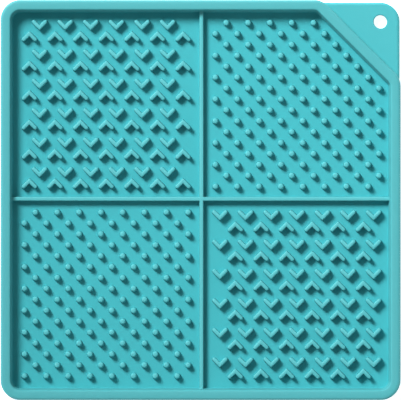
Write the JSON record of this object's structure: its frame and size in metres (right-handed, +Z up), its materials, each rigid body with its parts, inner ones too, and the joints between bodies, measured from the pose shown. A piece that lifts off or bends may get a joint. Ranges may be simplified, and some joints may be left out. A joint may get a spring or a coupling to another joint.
{
  "type": "lick mat",
  "caption": "Square silicone lick mat with a raised rim, cross ribs between fields of round nubs and V-shaped ridges, and a corner tab with a hanging hole.",
  "frame": {"origin": "middle of the flat underside", "axes": "+Z up out of the floor of the mat, +X to the right and +Y to the back; the corner tab is at +X +Y"},
  "size_m": [0.2, 0.2, 0.0096],
  "materials": {
    "silicone": "satin teal silicone"
  },
  "bodies": {
    "root": {"lick_mat": "silicone"}
  },
  "joints": []
}
